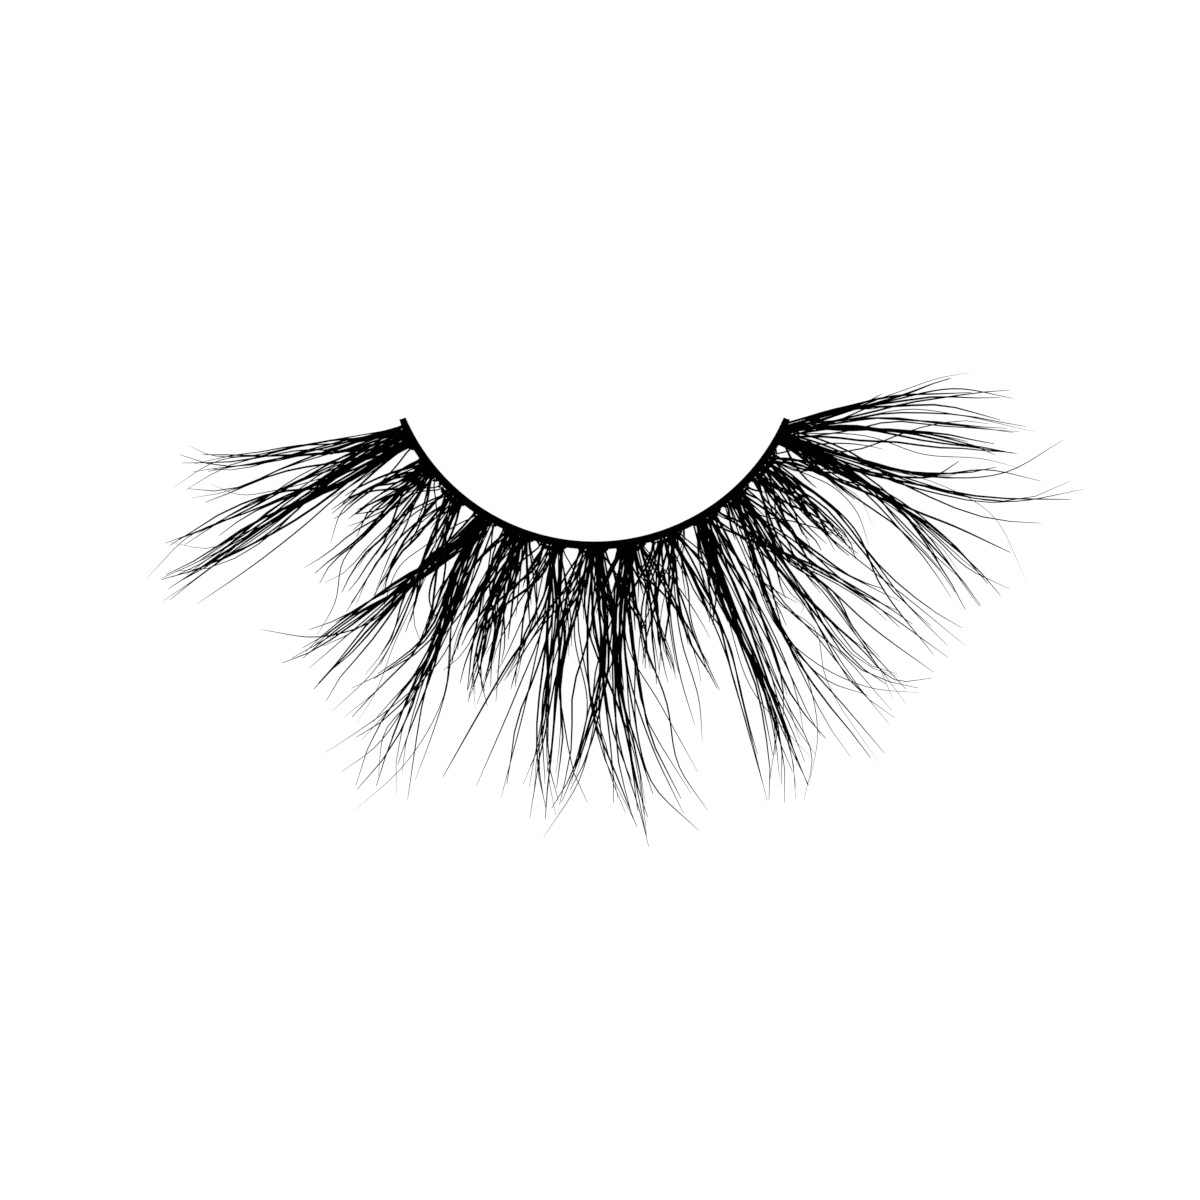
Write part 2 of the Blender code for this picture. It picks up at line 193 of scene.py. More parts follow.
# A row for each lock: its fan, counted from 0 at the inner corner; where it leaves the band, along
# the band from the middle of the fan; the points it passes through in plan; its widest width; and
# the number of its hairs.
Lock = namedtuple("Lock", "fan foot points girth hairs")
LOCKS = (
    Lock(0, -0.7, ((-17.0, 7.1), (-20.5, 6.75), (-25.0, 6.1), (-28.0, 5.4)), 1.1, 3),
    Lock(0, -0.4, ((-17.0, 6.9), (-20.0, 6.4), (-24.0, 5.6), (-28.3, 4.8)), 1.6, 4),
    Lock(0, 0.0, ((-19.0, 6.1), (-22.0, 5.2), (-26.0, 3.6), (-28.3, 3.0)), 1.2, 4),
    Lock(0, 0.1, ((-18.0, 5.3), (-22.0, 3.6), (-26.0, 1.4), (-29.4, -0.6)), 1.7, 6),
    Lock(0, 0.4, ((-16.4, 5.2), (-20.5, 2.7), (-24.5, 0.1), (-27.5, -1.9), (-29.8, -3.3)), 1.0, 6),
    Lock(0, 0.5, ((-16.0, 5.6), (-20.0, 3.2), (-24.0, 0.5), (-27.0, -1.4), (-29.6, -2.7)), 3.6, 11),
    Lock(1, -0.4, ((-13.6, 4.7), (-15.2, 4.1), (-18.4, 2.2)), 1.6, 5),
    Lock(1, -0.2, ((-13.0, 4.2), (-14.8, 2.7), (-17.1, 1.2)), 1.7, 5),
    Lock(1, 0.0, ((-13.5, 3.0), (-15.6, 1.3), (-19.6, -2.0)), 1.4, 3),
    Lock(1, 0.2, ((-12.9, 3.0), (-14.4, 1.0), (-16.0, -1.0), (-17.3, -3.3)), 1.7, 5),
    Lock(2, -0.4, ((-12.0, 1.9), (-14.0, 0.0), (-17.0, -4.4)), 1.4, 3),
    Lock(2, -0.1, ((-11.3, 1.6), (-13.4, -0.3), (-15.2, -3.5)), 1.2, 3),
    Lock(2, 0.1, ((-10.6, 1.4), (-11.7, -0.9), (-12.6, -4.0), (-13.4, -6.5)), 1.5, 5),
    Lock(2, 0.3, ((-10.9, 0.4), (-12.6, -3.0), (-14.5, -7.0), (-16.4, -9.9)), 1.0, 3),
    Lock(3, -0.6, ((-9.4, 0.5), (-12.6, -1.8), (-16.0, -4.3), (-19.8, -7.4)), 1.0, 3),
    Lock(3, -0.5, ((-9.5, 0.3), (-12.5, -2.2), (-16.0, -4.9), (-20.8, -8.9)), 1.8, 7),
    Lock(3, -0.4, ((-10.0, -0.3), (-13.0, -3.0), (-16.5, -7.0), (-19.4, -9.8)), 1.8, 6),
    Lock(3, 0.0, ((-9.6, -2.0), (-11.5, -6.4), (-15.0, -9.1), (-18.0, -11.0)), 1.4, 3),
    Lock(3, 0.1, ((-9.4, -1.2), (-10.8, -3.8), (-12.2, -7.2)), 1.6, 4),
    Lock(3, 0.2, ((-9.2, -3.0), (-11.9, -8.5), (-14.6, -11.7), (-17.9, -14.6)), 1.7, 4),
    Lock(3, 0.4, ((-8.8, -1.0), (-10.2, -5.0), (-12.0, -9.8), (-13.2, -13.6), (-14.0, -17.3)), 2.6, 7),
    Lock(4, -0.5, ((-6.6, -0.8), (-8.0, -3.6), (-9.9, -8.8)), 1.9, 6),
    Lock(4, -0.1, ((-6.2, -1.5), (-7.2, -3.7), (-8.7, -10.3)), 2.1, 8),
    Lock(4, 0.1, ((-6.6, -3.5), (-7.3, -7.2), (-8.4, -10.9)), 1.2, 4),
    Lock(4, 0.4, ((-5.6, -1.5), (-6.2, -3.6), (-7.2, -9.9)), 1.9, 6),
    Lock(5, -0.4, ((-3.9, -1.5), (-5.4, -3.7), (-7.4, -8.2)), 1.7, 4),
    Lock(5, -0.2, ((-3.5, -2.4), (-4.8, -5.6), (-6.8, -10.6)), 1.4, 3),
    Lock(5, 0.0, ((-3.3, -2.4), (-4.2, -5.0), (-5.9, -9.6)), 1.4, 2),
    Lock(5, 0.1, ((-2.9, -3.0), (-3.8, -8.0), (-5.2, -13.0), (-6.2, -17.0)), 1.4, 3),
    Lock(5, 0.4, ((-2.3, -2.5), (-2.4, -6.5), (-2.9, -10.7), (-3.6, -15.0), (-4.2, -18.6)), 0.9, 4),
    Lock(5, 0.2, ((-2.7, -3.0), (-3.2, -8.0), (-3.6, -13.0), (-4.4, -17.8)), 1.6, 3),
    Lock(6, -0.6, ((-0.9, -1.2), (-1.5, -3.4), (-2.1, -5.8), (-2.9, -8.6)), 1.3, 6),
    Lock(6, -0.5, ((-1.5, -3.4), (-2.5, -8.0), (-3.1, -12.8), (-3.7, -18.8)), 1.3, 3),
    Lock(6, -0.2, ((-1.2, -4.0), (-2.2, -8.3), (-2.0, -13.5), (-2.4, -17.9)), 1.2, 2),
    Lock(6, 0.0, ((-0.6, -4.5), (-0.5, -9.4), (0.8, -14.2), (2.9, -19.1)), 0.9, 3),
    Lock(6, 0.1, ((0.3, -4.0), (0.2, -8.0), (-0.8, -12.6), (-2.6, -18.0)), 1.1, 3),
    Lock(6, 0.3, ((0.9, -3.4), (1.5, -8.0), (1.5, -12.8), (1.8, -16.2), (2.9, -19.0)), 0.7, 4),
    Lock(6, 0.2, ((0.2, -4.0), (0.5, -8.0), (1.0, -12.5), (2.6, -18.0)), 1.3, 2),
    Lock(6, 0.5, ((0.4, -1.8), (0.9, -3.8), (1.4, -6.2), (1.8, -9.4)), 1.0, 4),
    Lock(6, 0.5, ((0.9, -4.0), (0.9, -9.0), (-0.6, -14.5), (-3.4, -19.8)), 0.9, 3),
    Lock(7, -0.5, ((1.5, -2.0), (1.2, -6.0), (1.6, -11.0)), 1.4, 4),
    Lock(7, -0.3, ((1.6, -4.0), (1.7, -9.0), (2.6, -14.7), (3.5, -20.0)), 1.3, 3),
    Lock(7, 0.0, ((2.1, -4.0), (2.3, -9.0), (2.8, -13.8), (3.6, -17.8)), 1.3, 3),
    Lock(7, 0.2, ((2.4, -3.0), (3.0, -8.4), (4.1, -12.6), (6.6, -17.0)), 1.1, 2),
    Lock(7, 0.4, ((3.3, -1.2), (4.1, -3.4), (4.8, -6.2), (5.8, -9.2)), 1.2, 7),
    Lock(8, -0.5, ((4.4, -1.4), (3.9, -3.9), (3.4, -8.6)), 1.5, 4),
    Lock(8, -0.2, ((4.4, -2.0), (4.6, -5.4), (5.3, -9.6)), 1.8, 5),
    Lock(8, 0.1, ((5.4, -2.0), (6.0, -5.6), (7.0, -10.2)), 1.2, 3),
    Lock(8, 0.2, ((5.7, -1.6), (6.4, -5.0), (8.6, -10.2)), 1.0, 2),
    Lock(8, 0.4, ((7.0, -1.8), (8.7, -5.6), (10.2, -11.0), (11.8, -17.2)), 1.0, 3),
    Lock(9, -0.4, ((7.6, 0.2), (8.0, -2.2), (9.0, -5.4)), 1.8, 5),
    Lock(9, -0.2, ((8.2, -1.4), (9.7, -5.5), (11.6, -9.8), (12.9, -15.4), (12.9, -17.6)), 2.1, 10),
    Lock(9, 0.0, ((9.0, -1.5), (10.8, -5.4), (12.5, -9.9), (13.9, -13.2), (15.2, -16.2)), 2.1, 7),
    Lock(9, 0.3, ((9.6, -1.0), (11.4, -4.6), (13.4, -9.4), (14.6, -13.6)), 1.4, 4),
    Lock(9, 0.4, ((10.8, 0.6), (14.4, -1.2), (18.0, -2.9), (22.3, -5.9)), 1.2, 3),
    Lock(10, -0.4, ((10.4, 0.6), (11.6, -2.2), (13.0, -5.8)), 1.8, 2),
    Lock(10, -0.2, ((11.0, -1.0), (13.0, -6.0), (15.6, -10.2), (18.9, -14.9)), 2.1, 5),
    Lock(10, 0.1, ((11.2, 0.6), (13.0, -1.8), (14.4, -4.3)), 1.4, 3),
    Lock(10, 0.2, ((12.3, -0.6), (15.2, -4.2), (18.6, -8.2), (22.4, -9.6)), 1.6, 4),
    Lock(10, 0.3, ((12.0, -0.2), (14.4, -3.6), (17.4, -8.4), (20.4, -12.2)), 1.7, 3),
    Lock(10, 0.4, ((11.8, 1.6), (13.6, 0.0), (16.2, -2.8)), 1.8, 3),
    Lock(10, 0.4, ((13.0, 0.0), (16.2, -3.2), (18.6, -6.4), (21.9, -10.3)), 1.3, 3),
    Lock(10, 0.6, ((12.0, 2.2), (14.4, -0.2), (17.6, -2.6), (21.0, -4.6)), 1.0, 3),
    Lock(11, -0.6, ((12.2, 3.4), (13.6, 1.7), (15.6, -0.8)), 1.8, 4),
    Lock(11, -0.4, ((12.7, 3.2), (14.6, 1.6), (17.6, -0.5)), 1.0, 4),
    Lock(11, 0.2, ((13.0, 4.2), (14.4, 2.7), (17.1, 0.1)), 0.9, 5),
    Lock(11, 0.3, ((13.4, 4.2), (15.6, 2.2), (18.2, -0.9)), 1.6, 6),
    Lock(11, 0.6, ((14.2, 4.2), (16.2, 2.7), (18.2, 0.2), (21.0, -3.2), (24.6, -6.4)), 0.9, 3),
    Lock(11, 0.9, ((13.8, 5.6), (15.8, 5.0), (19.2, 3.9)), 1.6, 5),
    Lock(12, -0.8, ((15.5, 5.4), (18.8, 3.3), (22.4, 0.2), (25.2, -3.0)), 1.5, 5),
    Lock(12, -0.6, ((16.0, 5.4), (20.0, 3.4), (24.0, -0.2), (27.4, -4.3)), 2.0, 8),
    Lock(12, -0.4, ((17.0, 5.8), (21.0, 4.3), (26.5, 2.9), (32.4, 2.2)), 1.8, 4),
    Lock(12, -0.1, ((17.0, 6.2), (21.0, 5.2), (24.8, 4.9), (28.6, 5.2)), 0.9, 4),
    Lock(12, 0.1, ((17.0, 8.0), (20.0, 7.9), (22.9, 7.6), (25.7, 7.1), (29.0, 6.2)), 1.3, 6),
    Lock(12, 0.3, ((17.0, 8.4), (20.6, 8.8), (24.5, 8.5), (29.6, 7.7)), 1.0, 3),
    Lock(12, 0.5, ((16.6, 8.9), (20.5, 9.6), (24.8, 10.0), (28.6, 9.6)), 1.3, 5),
    Lock(12, 0.5, ((15.0, 8.75), (17.2, 9.25), (20.2, 9.7)), 0.5, 4),
    Lock(12, 0.7, ((16.4, 9.1), (20.0, 10.1), (24.0, 11.1), (27.8, 11.7)), 1.0, 2),
)

# A row for each fan's short hairs: how far its foot reaches along the band and how far its hairs
# splay, in degrees, towards the inner corner and towards the outer; their length; and their number.
Fill = namedtuple("Fill", "inner outer inner_splay outer_splay length hairs")
FILLS = (
    Fill(0.85, 0.78, 8, 18, 7.0, 9),
    Fill(0.68, 0.85, 20, 48, 7.0, 12),
    Fill(1.15, 0.68, 46, 26, 7.0, 10),
    Fill(0.68, 0.68, 26, 22, 6.0, 5),
    Fill(1.00, 0.78, 30, 32, 9.5, 14),
    Fill(1.12, 0.44, 42, 26, 8.0, 8),
    Fill(0.88, 0.68, 30, 24, 7.0, 6),
    Fill(0.90, 0.66, 44, 34, 9.0, 11),
    Fill(1.12, 0.67, 46, 34, 8.0, 11),
    Fill(0.60, 1.08, 34, 34, 9.0, 10),
    Fill(0.84, 0.98, 34, 30, 4.0, 7),
    Fill(0.88, 1.42, 24, 42, 8.0, 6),
    Fill(0.36, 0.85, 34, 30, 6.5, 4),
)

# A row for each single hair that strays from the locks: its fan; where it leaves the band; the
# points it passes through in plan; and its thickness, as a share of a stray's usual.
Stray = namedtuple("Stray", "fan foot points thickness")
STRAYS = (
    Stray(0, -0.6, ((-20.0, 6.95), (-25.0, 6.1), (-26.4, 6.2), (-27.9, 6.85)), 0.8),
    Stray(0, 0.4, ((-17.5, 3.6), (-20.0, 1.4), (-23.0, -1.0), (-27.2, -4.0)), 1.1),
    Stray(0, 0.2, ((-19.0, 4.6), (-22.0, 3.8), (-24.5, 3.5), (-26.4, 4.2)), 0.8),
    Stray(0, 0.3, ((-20.0, 3.4), (-24.0, 0.9), (-26.5, -0.2), (-29.1, 0.2)), 0.8),
    Stray(0, 0.1, ((-20.0, 5.0), (-24.0, 2.4), (-28.0, 0.5), (-30.6, -2.3)), 0.8),
    Stray(0, 0.0, ((-18.0, 6.4), (-22.0, 6.2), (-26.0, 5.8), (-28.9, 4.0)), 0.8),
    Stray(1, 0.1, ((-15.4, 1.2), (-17.3, -1.0), (-17.9, -4.0), (-19.1, -6.2)), 0.6),
    Stray(1, 0.2, ((-14.0, 0.4), (-16.0, -2.8), (-17.1, -4.6)), 0.8),
    Stray(1, -0.3, ((-15.0, 4.2), (-17.4, 2.4), (-18.2, 0.2)), 0.6),
    Stray(2, 0.2, ((-12.2, -2.6), (-13.8, -6.4), (-15.0, -8.4), (-18.0, -11.4)), 0.6),
    Stray(2, 0.3, ((-12.0, -3.0), (-13.8, -6.8), (-15.0, -10.0), (-16.3, -12.2)), 0.6),
    Stray(2, 0.0, ((-11.0, 0.6), (-13.4, -1.4), (-14.8, -5.2)), 0.8),
    Stray(3, -0.5, ((-12.6, -2.4), (-15.5, -5.3), (-19.0, -6.3), (-22.9, -5.8)), 1.1),
    Stray(3, 0.1, ((-10.4, -5.6), (-13.2, -8.2), (-15.0, -10.0), (-17.2, -11.8)), 0.8),
    Stray(3, 0.2, ((-11.2, -8.6), (-13.8, -11.0), (-16.0, -12.6), (-18.4, -14.2)), 0.8),
    Stray(3, 0.3, ((-11.0, -7.4), (-13.0, -11.0), (-15.0, -13.8), (-17.3, -15.5)), 0.8),
    Stray(3, 0.3, ((-10.6, -7.0), (-12.6, -10.6), (-14.4, -12.8), (-14.8, -15.8)), 0.8),
    Stray(3, 0.5, ((-9.6, -3.6), (-10.2, -9.8), (-11.2, -13.1), (-12.3, -16.1)), 0.8),
    Stray(3, 0.5, ((-9.8, -5.0), (-10.4, -10.4), (-13.0, -15.0), (-16.2, -18.0)), 0.8),
    Stray(3, 0.0, ((-9.4, 0.2), (-11.2, -2.4), (-11.4, -3.8), (-11.0, -4.9)), 1.1),
    Stray(4, 0.3, ((-5.8, -2.0), (-6.4, -6.0), (-6.8, -10.8)), 0.8),
    Stray(4, -0.2, ((-7.2, -4.2), (-8.4, -8.8), (-8.2, -11.2)), 0.8),
    Stray(5, -0.1, ((-3.5, -4.3), (-6.0, -8.2), (-8.2, -12.0), (-10.4, -15.9)), 1.1),
    Stray(5, 0.0, ((-3.4, -5.0), (-5.4, -10.2), (-8.1, -16.5)), 0.8),
    Stray(5, 0.0, ((-3.4, -4.4), (-4.6, -10.2), (-6.4, -17.3)), 0.8),
    Stray(5, 0.4, ((-2.5, -5.0), (-3.6, -11.0), (-3.4, -16.4)), 0.8),
    Stray(6, 0.0, ((-0.5, -6.0), (0.0, -12.0), (1.5, -15.8), (2.9, -19.3)), 1.1),
    Stray(6, 0.2, ((0.4, -6.0), (0.0, -12.0), (-1.0, -16.0), (-3.5, -20.0)), 1.1),
    Stray(6, -0.3, ((-1.4, -6.0), (-0.5, -11.0), (-1.6, -16.4)), 0.8),
    Stray(7, -0.1, ((2.0, -6.0), (2.7, -11.6), (4.0, -16.4), (7.1, -19.5)), 1.1),
    Stray(7, 0.1, ((2.3, -7.0), (4.5, -10.9), (7.1, -15.6)), 0.8),
    Stray(7, 0.0, ((2.2, -8.0), (3.9, -13.7), (6.1, -18.4)), 0.8),
    Stray(7, -0.4, ((1.3, -6.0), (1.6, -13.0), (3.3, -19.0), (3.7, -20.6)), 0.8),
    Stray(8, -0.4, ((3.2, -5.3), (5.0, -11.0), (5.8, -15.2), (7.7, -18.1)), 1.1),
    Stray(8, 0.0, ((5.2, -4.6), (5.9, -9.0), (6.9, -12.4)), 0.8),
    Stray(8, 0.1, ((6.0, -6.6), (7.2, -10.8), (7.4, -13.4)), 0.8),
    Stray(8, 1.12, ((6.1, 0.5), (5.6, -1.2), (4.7, -4.0), (4.4, -6.6)), 0.8),
    Stray(8, 1.16, ((6.2, 0.6), (6.0, -1.0), (6.3, -3.6)), 0.7),
    Stray(8, 0.3, ((6.8, -3.0), (9.2, -6.6), (10.0, -10.0), (11.8, -17.5)), 0.8),
    Stray(9, 0.1, ((9.2, -5.0), (11.0, -10.2), (13.0, -12.6), (14.8, -14.5)), 0.8),
    Stray(9, 0.0, ((9.6, -4.0), (11.6, -9.2), (12.4, -12.8), (12.0, -16.2)), 0.8),
    Stray(9, 0.2, ((10.2, -4.2), (13.2, -10.8), (14.9, -14.5), (14.3, -17.4)), 0.8),
    Stray(10, 0.0, ((12.4, -3.8), (15.2, -5.8), (15.8, -8.8), (19.4, -14.9)), 0.6),
    Stray(10, -0.1, ((12.6, -5.0), (14.8, -9.6), (15.3, -13.0), (14.7, -16.3)), 0.8),
    Stray(10, 0.0, ((13.4, -6.6), (16.4, -8.8), (19.0, -9.8), (22.2, -10.1)), 0.8),
    Stray(10, 0.1, ((13.6, -7.0), (16.0, -9.3), (18.8, -10.3)), 0.8),
    Stray(10, -0.1, ((12.2, -1.2), (13.6, -3.4), (14.4, -4.3), (14.2, -4.7)), 0.9),
    Stray(10, 0.3, ((14.2, -3.2), (18.2, -7.0), (20.8, -9.3), (23.1, -9.1)), 0.8),
    Stray(11, 0.1, ((15.0, 1.6), (18.4, -1.2), (21.2, -3.4), (25.4, -6.9)), 0.8),
    Stray(11, -0.2, ((13.4, 0.2), (16.4, -2.2), (20.4, -4.9), (24.2, -7.7)), 0.8),
    Stray(11, -0.3, ((12.8, -0.2), (16.0, -2.8), (18.8, -5.4), (23.2, -8.7)), 0.8),
    Stray(11, -0.3, ((13.0, -0.8), (16.6, -3.4), (18.0, -6.0), (19.6, -7.7)), 0.8),
    Stray(11, 0.4, ((15.0, 3.8), (18.0, 1.0), (19.6, -2.6), (23.2, -7.5)), 0.8),
    Stray(11, 1.0, ((13.9, 5.6), (16.5, 4.4), (18.2, 3.3), (19.2, 1.2)), 0.5),
    Stray(11, 0.8, ((14.4, 5.0), (16.6, 3.9), (18.0, 2.4), (18.9, 0.0)), 0.6),
    Stray(12, -0.4, ((18.0, 4.8), (21.0, 2.9), (25.0, 1.2), (28.5, -0.5)), 1.1),
    Stray(12, -0.6, ((20.0, 3.4), (23.6, 0.4), (25.4, -1.4), (28.4, -3.0)), 0.8),
    Stray(12, -0.3, ((19.0, 5.5), (23.5, 4.3), (27.2, 2.2), (29.6, -2.6)), 0.6),
    Stray(12, -0.2, ((19.0, 5.4), (24.0, 3.7), (28.5, 3.0), (33.4, 3.8)), 0.8),
    Stray(12, -0.1, ((18.6, 5.9), (23.0, 4.8), (28.2, 5.0), (32.1, 7.2)), 1.1),
    Stray(12, -0.1, ((19.0, 5.7), (23.4, 4.9), (27.0, 5.2), (30.6, 4.4)), 0.8),
    Stray(12, -0.3, ((18.0, 5.3), (21.6, 4.7), (23.3, 4.75), (25.1, 5.8)), 1.1),
    Stray(12, 0.1, ((19.0, 7.5), (22.6, 6.3), (27.0, 5.9), (29.2, 5.3)), 0.6),
    Stray(12, 0.4, ((18.0, 8.8), (22.0, 9.4), (25.0, 9.0), (30.2, 7.8)), 0.8),
    Stray(12, 0.6, ((17.0, 9.2), (21.0, 10.6), (24.0, 11.6), (25.9, 11.9)), 0.8),
    Stray(12, 0.6, ((17.0, 9.3), (20.0, 9.9), (25.0, 10.8), (28.8, 10.1)), 0.8),
)


class LashSizes(bpy.types.PropertyGroup):
    """Sizes of the hair and of the threads, in millimetres."""

    hair_width: bpy.props.FloatProperty(
        name="Hair Width",
        description="Diameter of a lock's hair near its root, in millimetres",
        default=0.15,
        min=0.02,
        max=0.5,
    )
    stray_width: bpy.props.FloatProperty(
        name="Stray Width",
        description="Diameter of a single stray hair near its root, in millimetres",
        default=0.13,
        min=0.02,
        max=0.5,
    )
    fill_thickness: bpy.props.FloatProperty(
        name="Fill Thickness",
        description="How many short hairs fill the fans near the band, as a share of the usual",
        default=1.0,
        min=0.0,
        max=4.0,
    )
    thread_width: bpy.props.FloatProperty(
        name="Thread Width",
        description="Diameter of the thread wound round the band, in millimetres",
        default=0.12,
        min=0.02,
        max=0.4,
    )


class LashColours(bpy.types.PropertyGroup):
    """Colours of the hair, of the threads and of the floor."""

    hair: bpy.props.FloatVectorProperty(
        name="Hair",
        description="Colour of the hair fibre at the root",
        subtype="COLOR",
        size=3,
        default=(0.0010, 0.0010, 0.0011),
        min=0.0,
        max=1.0,
    )
    hair_tip: bpy.props.FloatVectorProperty(
        name="Hair Tip",
        description="Colour of the hair fibre at its thin tip",
        subtype="COLOR",
        size=3,
        default=(0.0025, 0.0023, 0.0022),
        min=0.0,
        max=1.0,
    )
    thread: bpy.props.FloatVectorProperty(
        name="Thread",
        description="Colour of the cotton band and of the knots",
        subtype="COLOR",
        size=3,
        default=(0.0012, 0.0012, 0.0013),
        min=0.0,
        max=1.0,
    )
    floor: bpy.props.FloatVectorProperty(
        name="Floor",
        description="Colour of the plain floor",
        subtype="COLOR",
        size=3,
        default=(0.93, 0.93, 0.93),
        min=0.0,
        max=1.0,
    )


def smooth_step(t):
    """A ramp from 0 to 1 with level ends."""
    t = np.clip(t, 0.0, 1.0)
    return t * t * (3 - 2 * t)


def fan_angle(fan, foot=0.0):
    """The angle along the band's arc, from its middle, of a place beside a fan's middle."""
    from_middle = fan - (FAN_COUNT - 1) / 2
    return (from_middle * FAN_PITCH + foot) / BAND_RADIUS


def arc_point(angle, radius):
    """A plan point at a radius from the centre of the band's arc."""
    return np.array((radius * math.sin(angle), BAND_RADIUS - radius * math.cos(angle)))


def curl_height(plan, fan):
    """How high the underside of a fan's hair lies at plan points, as in the solids."""
    out = np.hypot(plan[..., 0], plan[..., 1] - BAND_RADIUS) - BAND_RADIUS - BAND_WIDTH / 2
    along = np.clip(out - BELLY_REACH, 0.0, CURL_RADIUS)
    curl = CURL_RADIUS - np.sqrt(CURL_RADIUS**2 - along**2)
    rise = smooth_step((out - LAYER_RISE_START) / (LAYER_RISE_END - LAYER_RISE_START))
    return curl + (fan % LAYER_COUNT) * LAYER_STEP * rise


def through(points, share):
    """Places along a smooth curve through points, at shares of its length from 0 to 1."""
    points = np.array(points, float)
    gaps = np.linalg.norm(np.diff(points, axis=0), axis=1)
    knots = np.concatenate(((0.0,), np.cumsum(gaps))) / gaps.sum()
    slopes = np.gradient(points, knots, axis=0)
    index = np.clip(np.searchsorted(knots, share, side="right") - 1, 0, len(gaps) - 1)
    width = (knots[index + 1] - knots[index])[..., None]
    t = (share[..., None] - knots[index][..., None]) / width
    start, end = points[index], points[index + 1]
    leave, arrive = slopes[index] * width, slopes[index + 1] * width
    return (
        (2 * t**3 - 3 * t**2 + 1) * start
        + (t**3 - 2 * t**2 + t) * leave
        + (3 * t**2 - 2 * t**3) * end
        + (t**3 - t**2) * arrive
    )


def sideways(paths):
    """Unit vectors across plan paths, to the left of the way they run."""
    along = np.gradient(paths, axis=1)
    along /= np.linalg.norm(along, axis=2, keepdims=True) + TINY
    return np.stack((-along[..., 1], along[..., 0]), axis=2)


def template_rod(sides, rings):
    """A closed rod along Z from 0 to 1, cut into rings; returns its mesh data as arrays."""
    bm = bmesh.new()
    bmesh.ops.create_cone(
        bm, cap_ends=True, segments=sides, radius1=1.0, radius2=1.0, depth=1.0
    )
    bmesh.ops.translate(bm, verts=bm.verts, vec=(0, 0, 0.5))
    upright = [e for e in bm.edges if abs(e.verts[0].co.z - e.verts[1].co.z) > 0.5]
    bmesh.ops.subdivide_edges(bm, edges=upright, cuts=rings - 2, use_grid_fill=True)
    bmesh.ops.recalc_face_normals(bm, faces=bm.faces)
    bm.verts.index_update()
    places = np.array([v.co for v in bm.verts])
    corners = [[v.index for v in face.verts] for face in bm.faces]
    bm.free()
    ring = np.rint(places[:, 2] * (rings - 1)).astype(int)
    return ring, places[:, :2], corners


def bent_rods(name, paths, radii, tones, sides):
    """One mesh of round hairs or threads, in metres, from their paths and radii in millimetres."""
    count, rings = radii.shape
    ring, around, corners = template_rod(sides, rings)
    along = np.gradient(paths, axis=1)
    along /= np.linalg.norm(along, axis=2, keepdims=True) + TINY
    across = np.cross(along, (0.0, 0.0, 1.0))
    across /= np.linalg.norm(across, axis=2, keepdims=True) + TINY
    upward = np.cross(across, along)
    spread = around[:, 0, None] * across[:, ring] + around[:, 1, None] * upward[:, ring]
    verts = paths[:, ring] + spread * radii[:, ring, None]
    lengths = np.array([len(face) for face in corners])
    flat = np.array([index for face in corners for index in face])
    steps = np.arange(count)[:, None]
    mesh = bpy.data.meshes.new(name)
    mesh.vertices.add(count * len(ring))
    mesh.vertices.foreach_set("co", (verts * MM).astype(np.float32).ravel())
    mesh.loops.add(count * len(flat))
    mesh.loops.foreach_set("vertex_index", (flat + steps * len(ring)).astype(np.int32).ravel())
    mesh.polygons.add(count * len(lengths))
    starts = np.concatenate(((0,), np.cumsum(lengths)[:-1]))
    mesh.polygons.foreach_set("loop_start", (starts + steps * len(flat)).astype(np.int32).ravel())
    mesh.update(calc_edges=True)
    set_attribute(mesh, "along", np.tile(ring / (rings - 1), count))
    set_attribute(mesh, "tone", np.repeat(tones, len(ring)))
    mesh.shade_smooth()
    return mesh


def set_attribute(mesh, name, values):
    """Keeps a number for each point of a mesh, for its material to read."""
    attribute = mesh.attributes.new(name, "FLOAT", "POINT")
    attribute.data.foreach_set("value", values.astype(np.float32))


def half_width(share, fan):
    """How wide a lock runs, as a share of its widest; the outer corner's locks stay open."""
    gather = INNER_GATHER + (OUTER_GATHER - INNER_GATHER) * fan / (FAN_COUNT - 1)
    opening = smooth_step(share / WIDEST_AT)
    closing = 1 - (1 - gather) * smooth_step((share - WIDEST_AT) / GATHER_OVER)
    return (ROOT_WIDTH + (1 - ROOT_WIDTH) * opening) * closing


def foot_points(fan, foot):
    """Where hairs leave the band, for places along the foot of their fan."""
    return np.array([arc_point(fan_angle(fan, one), BAND_RADIUS) for one in foot])


def sibling(lock, rng):
    """A lock of this fan or the next whose tip is near, which some hairs cross over to."""
    near = [
        other
        for other in LOCKS
        if abs(other.fan - lock.fan) < 2
        and math.dist(other.points[-1], lock.points[-1]) < SWAP_REACH
    ]
    return near[rng.integers(len(near))]


def even_spread(count, rng):
    """Places from -1 to 1, evenly apart but for a little chance, in no order."""
    places = np.arange(count) + rng.uniform(*PLACE_CHANCE, count)
    return rng.permutation(2 * places / count - 1)


def past(share, start):
    """How far along a hair is past a start, from 0 there to 1 at the tip."""
    return np.clip((share - start) / (1 - start), 0, 1)


